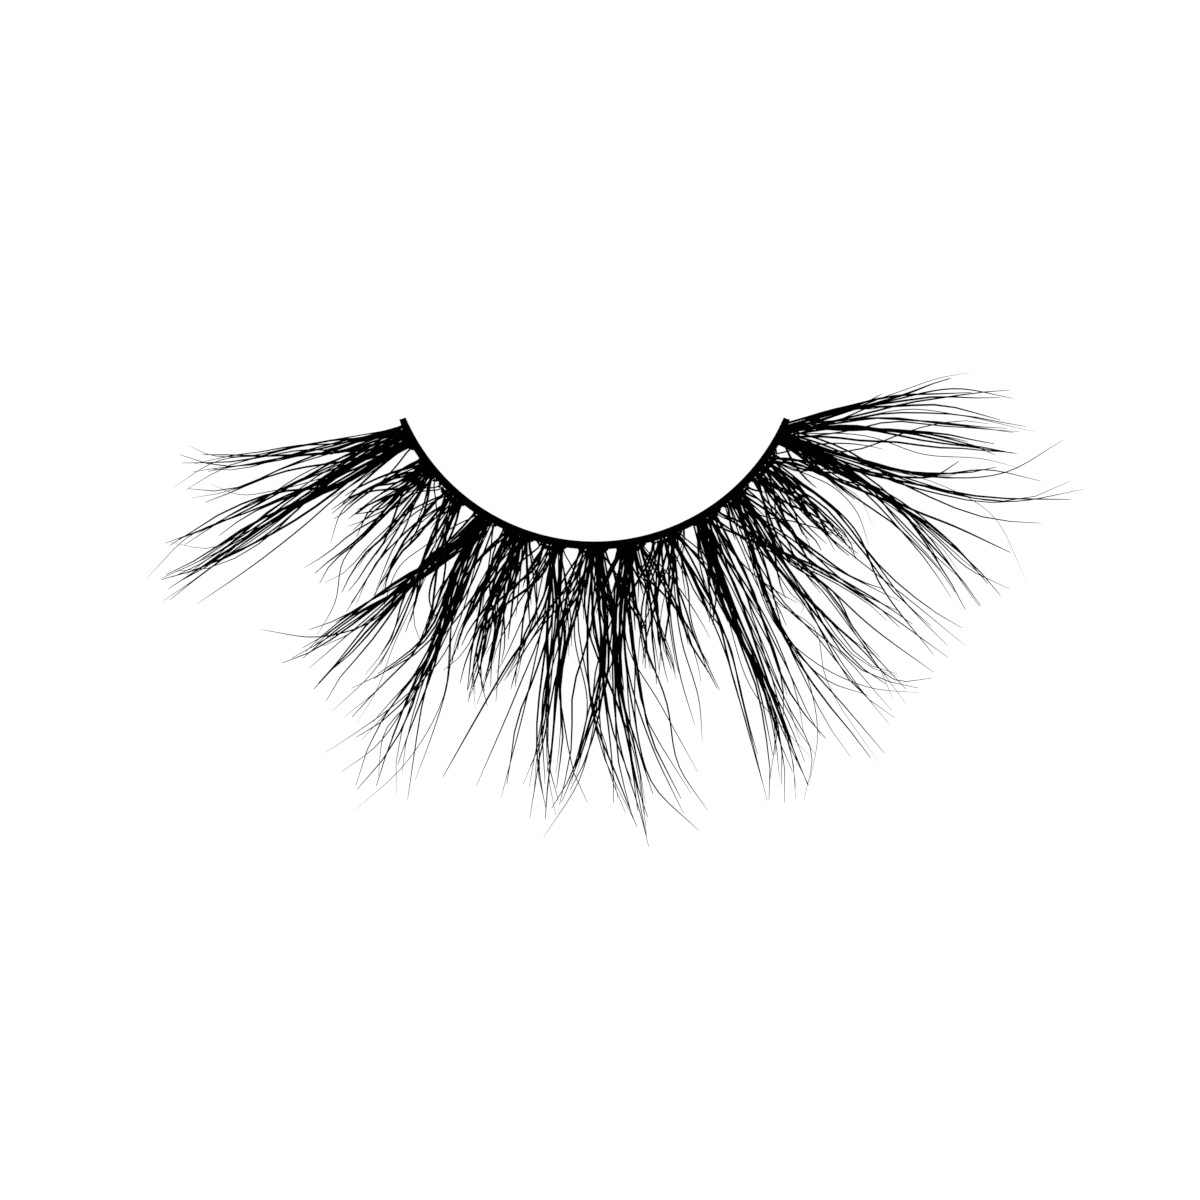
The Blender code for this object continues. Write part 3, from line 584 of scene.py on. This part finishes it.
def lock_paths(lock, rng):
    """Paths of a lock's hairs: they cross inside it, end at different reaches and flick apart."""
    hairs = lock.hairs
    reach = 1 - SHORTEST_BY * rng.random(hairs) ** 2
    share = np.linspace(0, 1, HAIR_RINGS) ** ROOT_CLOSENESS * reach[:, None]
    root = arc_point(fan_angle(lock.fan, lock.foot), BAND_RADIUS)
    path = through((root, *lock.points), share)
    beside = np.array([through((root, *sibling(lock, rng).points), one) for one in share])
    swaps = rng.random((hairs, 1)) < SWAP_SHARE
    swap = swaps * smooth_step((share - SWAP_START) / SWAP_OVER)
    path += (beside - path) * swap[..., None]
    fill = FILLS[lock.fan]
    inner = max(lock.foot - FOOT_SCATTER, -fill.inner)
    outer = min(lock.foot + FOOT_SCATTER, fill.outer)
    foot = (inner + outer) / 2 + (outer - inner) / 2 * even_spread(hairs, rng)
    join = 1 - smooth_step(share / rng.uniform(*FOOT_JOINS, (hairs, 1)))
    path += (foot_points(lock.fan, foot) - root)[:, None] * join[..., None]
    start = even_spread(hairs, rng)[:, None]
    crosses = rng.random((hairs, 1)) < CROSS_SHARE
    end = np.where(crosses, -start, start)
    place = start + (end - start) * smooth_step(share * CROSS_BY)
    slow = rng.uniform(*SLOW_WAVES, (hairs, 1))
    quick = rng.uniform(*QUICK_WAVES, (hairs, 1))
    wave = np.sin(2 * math.pi * (share * slow + rng.random((hairs, 1))))
    wave += QUICK_SHARE * np.sin(2 * math.pi * (share * quick + rng.random((hairs, 1))))
    flick = rng.normal(0, TIP_FLICK, (hairs, 1)) * past(share, FLICK_START) ** 2
    hooked = rng.normal(0, TIP_HOOK, (hairs, 1)) * (rng.random((hairs, 1)) < HOOK_SHARE)
    length = np.linalg.norm(path[:, -1] - path[:, 0], axis=1)[:, None]
    hook = hooked * length * past(share, HOOK_START) ** HOOK_POWER
    offset = place * half_width(share, lock.fan) * lock.girth / 2 + flick + hook
    offset += wave * WANDER * smooth_step(share / WANDER_BY)
    plan = path + sideways(path) * offset[..., None]
    return plan, bundle_heights(plan, lock.fan, rng)


def bundle_heights(plan, fan, rng):
    """Heights inside the fan's thin layer, with each hair rising or sinking a little on its way."""
    hairs = len(plan)
    share = np.linspace(0, 1, plan.shape[1])
    low, high = rng.random((2, hairs, 1))
    inside = (low + (high - low) * share) * (BUNDLE_HEIGHT - 2 * HAIR_CLEARANCE)
    inside += HAIR_CLEARANCE
    return curl_height(plan, fan) + inside


def fill_paths(fan, sizes, rng):
    """Paths of a fan's short hairs: they leave the foot straight, splay wide, then swing back."""
    fill = FILLS[fan]
    hairs = round(fill.hairs * sizes.fill_thickness)
    place = np.linspace(-1, 1, hairs) + rng.normal(0, FILL_SCATTER, hairs)
    foot = np.where(place < 0, fill.inner, fill.outer) * place
    most = np.where(place < 0, fill.inner_splay, fill.outer_splay)
    splay = np.radians(most) * place + rng.normal(0, math.radians(SPLAY_SCATTER), hairs)
    swing = -SWING_BACK * splay + rng.normal(0, math.radians(SWING_SCATTER), hairs)
    longer = (1 - FILL_SHORTEST) * rng.random(hairs) ** FILL_POWER
    length = fill.length * (FILL_SHORTEST + longer)
    share = np.linspace(0, 1, HAIR_RINGS) ** ROOT_CLOSENESS
    out = length[:, None] * share
    angle = np.array([fan_angle(fan, one) for one in foot])
    heading = angle[:, None] + splay[:, None] * smooth_step(out / SPLAY_BY)
    heading += swing[:, None] * np.clip((out - SPLAY_BY) / length[:, None], 0, 1)
    steps = np.diff(out, axis=1, prepend=0)[..., None]
    moves = np.stack((np.sin(heading), -np.cos(heading)), axis=2) * steps
    plan = foot_points(fan, foot)[:, None] + np.cumsum(moves, axis=1)
    return plan, bundle_heights(plan, fan, rng)


def stray_path(stray, rng):
    """The path of one charted stray hair."""
    root = arc_point(fan_angle(stray.fan, stray.foot), BAND_RADIUS)
    share = np.linspace(0, 1, STRAY_RINGS)[None]
    plan = through((root, *stray.points), share)
    return plan, bundle_heights(plan, stray.fan, rng)


def hair_radii(width, count, rings, rng):
    """Radii along each hair, fine at the tip."""
    share = np.linspace(0, 1, rings)
    taper = 1 - (1 - TIP_SHARE) * share**TIP_POWER
    return width / 2 * rng.uniform(*THICKNESS_RANGE, (count, 1)) * taper


def fan_mesh(fan, sizes):
    """All the hairs of one fan as one mesh."""
    rng = np.random.default_rng(SEED + fan)
    groups = [lock_paths(lock, rng) for lock in LOCKS if lock.fan == fan]
    groups.append(fill_paths(fan, sizes, rng))
    strays = [stray for stray in STRAYS if stray.fan == fan]
    single = [stray_path(stray, rng) for stray in strays]
    widths = sizes.stray_width * np.array([[stray.thickness] for stray in strays])
    name = f"lash_hair_{fan + 1:02d}"
    hairs = hairs_mesh(name, groups, sizes.hair_width, rng)
    return with_mesh(hairs, hairs_mesh(f"{name}_strays", single, widths, rng))


def hairs_mesh(name, groups, width, rng):
    """A mesh of groups of hairs that share a width."""
    plan = np.concatenate([group[0] for group in groups])
    height = np.concatenate([group[1] for group in groups])
    radii = hair_radii(width, len(plan), plan.shape[1], rng)
    height = np.maximum(height, radii + FLOOR_CLEARANCE)
    paths = np.concatenate((plan, height[..., None]), axis=2)
    return bent_rods(name, paths, radii, rng.random(len(paths)), HAIR_SIDES)


def with_mesh(mesh, added):
    """The first mesh with the second one joined to it."""
    bm = bmesh.new()
    bm.from_mesh(mesh)
    bm.from_mesh(added)
    bm.to_mesh(mesh)
    bm.free()
    bpy.data.meshes.remove(added)
    return mesh


def add_piece(mesh, material, slot, *replaced):
    """Puts a finished mesh in the scene on the part's one body, for the solids it stands for."""
    old = bpy.data.objects.get(mesh.name)
    if old is not None:
        bpy.data.objects.remove(old)
    obj = bpy.data.objects.new(mesh.name, mesh)
    bpy.context.scene.collection.objects.link(obj)
    mesh.materials.append(material)
    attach(obj, BODY)
    if replaced:
        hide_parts(*replaced)
    return obj


def band_width_at(angle):
    """The band's reach towards the hair: it narrows to a neck before the small nub of each end."""
    to_end = BAND_LENGTH / 2 - np.abs(angle) * BAND_RADIUS
    neck = 1 - smooth_step(to_end / NECK_LENGTH)
    nub = 1 - smooth_step(to_end / NUB_LENGTH)
    return BAND_WIDTH + (NECK_WIDTH - BAND_WIDTH) * neck + (NUB_WIDTH - NECK_WIDTH) * nub


def band_core_mesh(thread):
    """The band's flat core: a rounded section swept round the arc, inside the wound thread."""
    bm = bmesh.new()
    bmesh.ops.create_cone(
        bm, cap_ends=True, segments=CORE_SIDES, radius1=0.5, radius2=0.5, depth=1.0
    )
    upright = [e for e in bm.edges if abs(e.verts[0].co.z - e.verts[1].co.z) > 0.5]
    bmesh.ops.subdivide_edges(bm, edges=upright, cuts=CORE_CUTS, use_grid_fill=True)
    inset = CORE_INSET * thread
    inner = BAND_RADIUS - BAND_WIDTH / 2 + inset
    for vert in bm.verts:
        angle = vert.co.z * (BAND_LENGTH - thread) / BAND_RADIUS
        width = float(band_width_at(angle)) - 2 * inset
        radius = inner + (vert.co.x + 0.5) * width
        height = BAND_HEIGHT / 2 + vert.co.y * (BAND_HEIGHT - 2 * inset)
        plan = arc_point(angle, radius)
        vert.co = (plan[0], plan[1], height)
    bmesh.ops.recalc_face_normals(bm, faces=bm.faces)
    bmesh.ops.scale(bm, verts=bm.verts, vec=(MM, MM, MM))
    mesh = bpy.data.meshes.new("band_core")
    bm.to_mesh(mesh)
    bm.free()
    set_attribute(mesh, "along", np.zeros(len(mesh.vertices)))
    set_attribute(mesh, "tone", np.full(len(mesh.vertices), MIDDLE_TONE))
    mesh.shade_smooth()
    return mesh


def on_band(angle, radius, height):
    """A path in space from its angles, radii and heights along the band's arc."""
    plan_x = radius * np.sin(angle)
    plan_y = BAND_RADIUS - radius * np.cos(angle)
    return np.stack((plan_x, plan_y, height), axis=1)


def boxy(turn, power):
    """A wave that lingers at its ends, so a wound thread follows a flat section."""
    wave = np.cos(turn)
    return np.sign(wave) * np.abs(wave) ** power


def band_thread_mesh(thread):
    """The thread wound round the core from end to end."""
    turns = BAND_LENGTH / (thread * WINDING_PITCH)
    share = np.linspace(0, 1, int(turns * WINDING_STEPS))
    turn = 2 * math.pi * turns * share
    angle = (share - 0.5) * (BAND_LENGTH - WINDING_END * thread) / BAND_RADIUS
    outward = boxy(turn, WINDING_SQUARENESS)
    upward = boxy(turn - math.pi / 2, WINDING_SQUARENESS)
    width = band_width_at(angle) - thread
    radius = BAND_RADIUS - BAND_WIDTH / 2 + thread / 2 + (outward + 1) / 2 * width
    height = BAND_HEIGHT / 2 + upward * (BAND_HEIGHT - thread) / 2
    path = on_band(angle, radius, height)[None]
    radii = np.full((1, len(share)), thread / 2 * WINDING_FULLNESS)
    return bent_rods("band_thread", path, radii, np.array((MIDDLE_TONE,)), THREAD_SIDES)


def knot_path(fan, thread):
    """A thread wound tightly a few times round the root of one fan."""
    fill = FILLS[fan]
    share = np.linspace(0, 1, KNOT_TURNS * KNOT_STEPS + 1)
    turn = 2 * math.pi * KNOT_TURNS * share
    sideward = boxy(turn, KNOT_SQUARENESS)
    upward = boxy(turn - math.pi / 2, KNOT_SQUARENESS)
    half_foot = (fill.inner + fill.outer) / 2
    side = (fill.outer - fill.inner) / 2 + sideward * (half_foot - KNOT_DRAWN_IN * share)
    height = KNOT_MIDDLE + upward * (KNOT_HEIGHT - thread) / 2
    from_band = thread * (KNOT_FIRST + KNOT_TURNS * KNOT_PITCH * share)
    radius = BAND_RADIUS + BAND_WIDTH / 2 + from_band
    return on_band(fan_angle(fan) + side / radius, radius, height)


def glue_path(fan, side):
    """A bead of glue that rounds the corner between the band and one side of a fan's foot."""
    fill = FILLS[fan]
    turn = np.linspace(0, math.pi / 2, GLUE_RINGS)
    edge = fill.outer if side > 0 else -fill.inner
    along = edge + side * GLUE_ROUND * (1 - np.cos(turn))
    radius = BAND_RADIUS + BAND_WIDTH / 2 + GLUE_ROUND * (1 - np.sin(turn))
    angle = fan_angle(fan) + along / BAND_RADIUS
    return on_band(angle, radius, np.full(GLUE_RINGS, BAND_HEIGHT / 2))


def knots_mesh(thread):
    """The knots that tie every fan to the band, with the glue beside them."""
    paths = np.array([knot_path(fan, thread) for fan in range(FAN_COUNT)])
    radii = np.full(paths.shape[:2], thread / 2)
    tones = np.linspace(*KNOT_TONES, FAN_COUNT)
    knots = bent_rods("root_knots", paths, radii, tones, THREAD_SIDES)
    corners = [(fan, side) for fan in range(FAN_COUNT) for side in (-1, 1)]
    paths = np.array([glue_path(fan, side) for fan, side in corners[1:-1]])
    radii = np.full(paths.shape[:2], GLUE_WIDTH / 2)
    tones = np.full(len(paths), MIDDLE_TONE)
    return with_mesh(knots, bent_rods("glue", paths, radii, tones, THREAD_SIDES))


def fibre_group():
    """A shader group shared by hair and thread: fine grain that varies colour, gloss and relief."""
    known = bpy.data.node_groups.get("fine_fibre")
    if known is not None:
        return known
    group = bpy.data.node_groups.new("fine_fibre", "ShaderNodeTree")
    for name, kind in (
        ("Position", "NodeSocketVector"),
        ("Root Colour", "NodeSocketColor"),
        ("Tip Colour", "NodeSocketColor"),
        ("Towards Tip", "NodeSocketFloat"),
        ("Grain Scale", "NodeSocketFloat"),
        ("Smoothest", "NodeSocketFloat"),
        ("Roughest", "NodeSocketFloat"),
    ):
        group.interface.new_socket(name=name, in_out="INPUT", socket_type=kind)
    for name, kind in (
        ("Colour", "NodeSocketColor"),
        ("Roughness", "NodeSocketFloat"),
        ("Relief", "NodeSocketFloat"),
    ):
        group.interface.new_socket(name=name, in_out="OUTPUT", socket_type=kind)
    nodes, links = group.nodes, group.links
    given = nodes.new("NodeGroupInput")
    made = nodes.new("NodeGroupOutput")
    grain = nodes.new("ShaderNodeTexNoise")
    grain.inputs["Detail"].default_value = GRAIN_DETAIL
    links.new(given.outputs["Position"], grain.inputs["Vector"])
    links.new(given.outputs["Grain Scale"], grain.inputs["Scale"])
    share = nodes.new("ShaderNodeMath")
    share.operation = "MULTIPLY_ADD"
    share.use_clamp = True
    links.new(grain.outputs["Fac"], share.inputs[0])
    share.inputs[1].default_value = GRAIN_IN_COLOUR
    links.new(given.outputs["Towards Tip"], share.inputs[2])
    blend = nodes.new("ShaderNodeMix")
    blend.data_type = "RGBA"
    links.new(share.outputs[0], blend.inputs["Factor"])
    links.new(given.outputs["Root Colour"], blend.inputs["A"])
    links.new(given.outputs["Tip Colour"], blend.inputs["B"])
    gloss = nodes.new("ShaderNodeMapRange")
    links.new(grain.outputs["Fac"], gloss.inputs["Value"])
    links.new(given.outputs["Smoothest"], gloss.inputs["To Min"])
    links.new(given.outputs["Roughest"], gloss.inputs["To Max"])
    links.new(blend.outputs["Result"], made.inputs["Colour"])
    links.new(gloss.outputs["Result"], made.inputs["Roughness"])
    links.new(grain.outputs["Fac"], made.inputs["Relief"])
    return group


def fibre_material(name, root, tip, grain_scale, gloss, relief):
    """A fibre finish: dark, with grain in its colour, gloss and relief, and a constant shine."""
    material = bpy.data.materials.get(name)
    if material is not None:
        bpy.data.materials.remove(material)
    material = bpy.data.materials.new(name)
    material.use_nodes = True
    nodes, links = material.node_tree.nodes, material.node_tree.links
    shader = nodes["Principled BSDF"]
    place = nodes.new("ShaderNodeTexCoord")
    along = nodes.new("ShaderNodeAttribute")
    along.attribute_name = "along"
    tone = nodes.new("ShaderNodeAttribute")
    tone.attribute_name = "tone"
    towards = nodes.new("ShaderNodeMath")
    towards.operation = "MULTIPLY_ADD"
    towards.use_clamp = True
    links.new(along.outputs["Fac"], towards.inputs[0])
    links.new(tone.outputs["Fac"], towards.inputs[1])
    towards.inputs[2].default_value = -TIP_COLOUR_LATE
    fibre = nodes.new("ShaderNodeGroup")
    fibre.node_tree = fibre_group()
    links.new(place.outputs["Object"], fibre.inputs["Position"])
    links.new(towards.outputs[0], fibre.inputs["Towards Tip"])
    fibre.inputs["Root Colour"].default_value = (*root, 1.0)
    fibre.inputs["Tip Colour"].default_value = (*tip, 1.0)
    fibre.inputs["Grain Scale"].default_value = grain_scale
    fibre.inputs["Smoothest"].default_value = gloss[0]
    fibre.inputs["Roughest"].default_value = gloss[1]
    bump = nodes.new("ShaderNodeBump")
    bump.inputs["Strength"].default_value = relief
    bump.inputs["Distance"].default_value = GRAIN_DEPTH
    links.new(fibre.outputs["Relief"], bump.inputs["Height"])
    links.new(fibre.outputs["Colour"], shader.inputs["Base Color"])
    links.new(fibre.outputs["Roughness"], shader.inputs["Roughness"])
    links.new(bump.outputs["Normal"], shader.inputs["Normal"])
    shader.inputs["Specular IOR Level"].default_value = FIBRE_SHINE
    return material


def hair_material(colours):
    """Satin synthetic hair."""
    return fibre_material(
        "black_hair_fibre", colours.hair, colours.hair_tip,
        grain_scale=9000, gloss=(0.32, 0.55), relief=0.25,
    )


def thread_material(colours):
    """Matt cotton thread."""
    return fibre_material(
        "black_cotton_thread", colours.thread, tuple(2 * part for part in colours.thread),
        grain_scale=14000, gloss=(0.7, 0.95), relief=0.6,
    )


class LASH_OT_hair_fans(bpy.types.Operator):
    """Builds every fan's hairs: its locks, short fill and strays"""

    bl_idname = "lash.hair_fans"
    bl_label = "Hair Fans"

    def execute(self, context):
        material = hair_material(context.scene.lash_colours)
        for fan in range(FAN_COUNT):
            mesh = fan_mesh(fan, context.scene.lash_sizes)
            add_piece(mesh, material, HAIR_SLOT, f"hair_fan_{fan + 1:02d}")
        return {"FINISHED"}


class LASH_OT_thread_band(bpy.types.Operator):
    """Builds the band: a flat core and the thread wound round it"""

    bl_idname = "lash.thread_band"
    bl_label = "Thread Band"

    def execute(self, context):
        material = thread_material(context.scene.lash_colours)
        thread = context.scene.lash_sizes.thread_width
        add_piece(band_core_mesh(thread), material, THREAD_SLOT, "thread_band")
        add_piece(band_thread_mesh(thread), material, THREAD_SLOT)
        return {"FINISHED"}


class LASH_OT_root_knots(bpy.types.Operator):
    """Builds the knots that tie the fans to the band"""

    bl_idname = "lash.root_knots"
    bl_label = "Root Knots"

    def execute(self, context):
        material = bpy.data.materials.get("black_cotton_thread")
        if material is None:
            raise RuntimeError("Build the thread band first: the knots share its thread")
        add_piece(knots_mesh(context.scene.lash_sizes.thread_width), material, THREAD_SLOT)
        return {"FINISHED"}


def add_camera(scene):
    """A long lens straight above the strip, framed as the photograph is."""
    data = bpy.data.cameras.new("camera")
    data.lens = LENS
    data.sensor_width = SENSOR
    data.clip_start = NEAREST
    camera = bpy.data.objects.new("camera", data)
    scene.collection.objects.link(camera)
    height = VIEW_WIDTH * MM * LENS / SENSOR
    camera.location = (VIEW_CENTRE[0] * MM, VIEW_CENTRE[1] * MM, height)
    scene.camera = camera


def add_lamp(scene, lamp):
    """A round soft lamp that points at the strip."""
    data = bpy.data.lights.new(lamp.name, "AREA")
    data.shape = "DISK"
    data.size = lamp.size
    data.energy = lamp.power
    light = bpy.data.objects.new(lamp.name, data)
    scene.collection.objects.link(light)
    light.location = lamp.place
    light.rotation_euler = (-Vector(lamp.place)).to_track_quat("-Z", "Y").to_euler()


def floor_material(colour):
    """A matt pale board with a faint mottle."""
    material = bpy.data.materials.new("pale_floor")
    material.use_nodes = True
    nodes, links = material.node_tree.nodes, material.node_tree.links
    shader = nodes["Principled BSDF"]
    place = nodes.new("ShaderNodeTexCoord")
    mottle = nodes.new("ShaderNodeTexNoise")
    mottle.inputs["Scale"].default_value = MOTTLE_SCALE
    blend = nodes.new("ShaderNodeMix")
    blend.data_type = "RGBA"
    blend.inputs["A"].default_value = (*colour, 1.0)
    lifted = tuple(min(part * MOTTLE_LIFT, 1.0) for part in colour)
    blend.inputs["B"].default_value = (*lifted, 1.0)
    links.new(place.outputs["Object"], mottle.inputs["Vector"])
    links.new(mottle.outputs["Fac"], blend.inputs["Factor"])
    links.new(blend.outputs["Result"], shader.inputs["Base Color"])
    shader.inputs["Roughness"].default_value = FLOOR_ROUGHNESS
    shader.inputs["Specular IOR Level"].default_value = FLOOR_SHINE
    shader.inputs["Emission Color"].default_value = (1.0, 1.0, 1.0, 1.0)
    shader.inputs["Emission Strength"].default_value = FLOOR_GLOW
    return material


class LASH_OT_stage(bpy.types.Operator):
    """Sets the plain floor, the soft light and the camera above the strip"""

    bl_idname = "lash.stage"
    bl_label = "Stage"

    def execute(self, context):
        scene = context.scene
        bm = bmesh.new()
        bmesh.ops.create_grid(bm, x_segments=1, y_segments=1, size=FLOOR_SIZE / 2)
        mesh = bpy.data.meshes.new("floor")
        bm.to_mesh(mesh)
        bm.free()
        mesh.materials.append(floor_material(scene.lash_colours.floor))
        floor = bpy.data.objects.new("floor", mesh)
        scene.collection.objects.link(floor)
        for lamp in LAMPS:
            add_lamp(scene, lamp)
        world = bpy.data.worlds.new("soft_white")
        world.use_nodes = True
        sky = world.node_tree.nodes["Background"]
        sky.inputs["Color"].default_value = (1.0, 1.0, 1.0, 1.0)
        sky.inputs["Strength"].default_value = SKY_GLOW
        scene.world = world
        scene.view_settings.view_transform = "Standard"
        add_camera(scene)
        return {"FINISHED"}


class VIEW3D_PT_lash(bpy.types.Panel):
    """Sizes, colours and build steps of the eyelash strip"""

    bl_label = "False Eyelash Strip"
    bl_space_type = "VIEW_3D"
    bl_region_type = "UI"
    bl_category = "Lash"

    def draw(self, context):
        layout = self.layout
        for group in (context.scene.lash_sizes, context.scene.lash_colours):
            column = layout.column()
            for name in group.bl_rna.properties.keys():
                if name not in ("name", "rna_type"):
                    column.prop(group, name)
        for operator in OPERATORS:
            layout.operator(operator.bl_idname)


OPERATORS = (LASH_OT_hair_fans, LASH_OT_thread_band, LASH_OT_root_knots, LASH_OT_stage)
CLASSES = (LashSizes, LashColours, *OPERATORS, VIEW3D_PT_lash)


def register():
    """Registers the classes and hangs their properties on the scene."""
    for one in CLASSES:
        bpy.utils.register_class(one)
    bpy.types.Scene.lash_sizes = bpy.props.PointerProperty(type=LashSizes)
    bpy.types.Scene.lash_colours = bpy.props.PointerProperty(type=LashColours)


def unregister():
    """Undoes what register does."""
    del bpy.types.Scene.lash_colours
    del bpy.types.Scene.lash_sizes
    for one in reversed(CLASSES):
        bpy.utils.unregister_class(one)


def main():
    """Builds the strip and its stage."""
    register()
    bpy.ops.lash.hair_fans()
    bpy.ops.lash.thread_band()
    bpy.ops.lash.root_knots()
    bpy.ops.lash.stage()


if __name__ == "__main__":
    main()
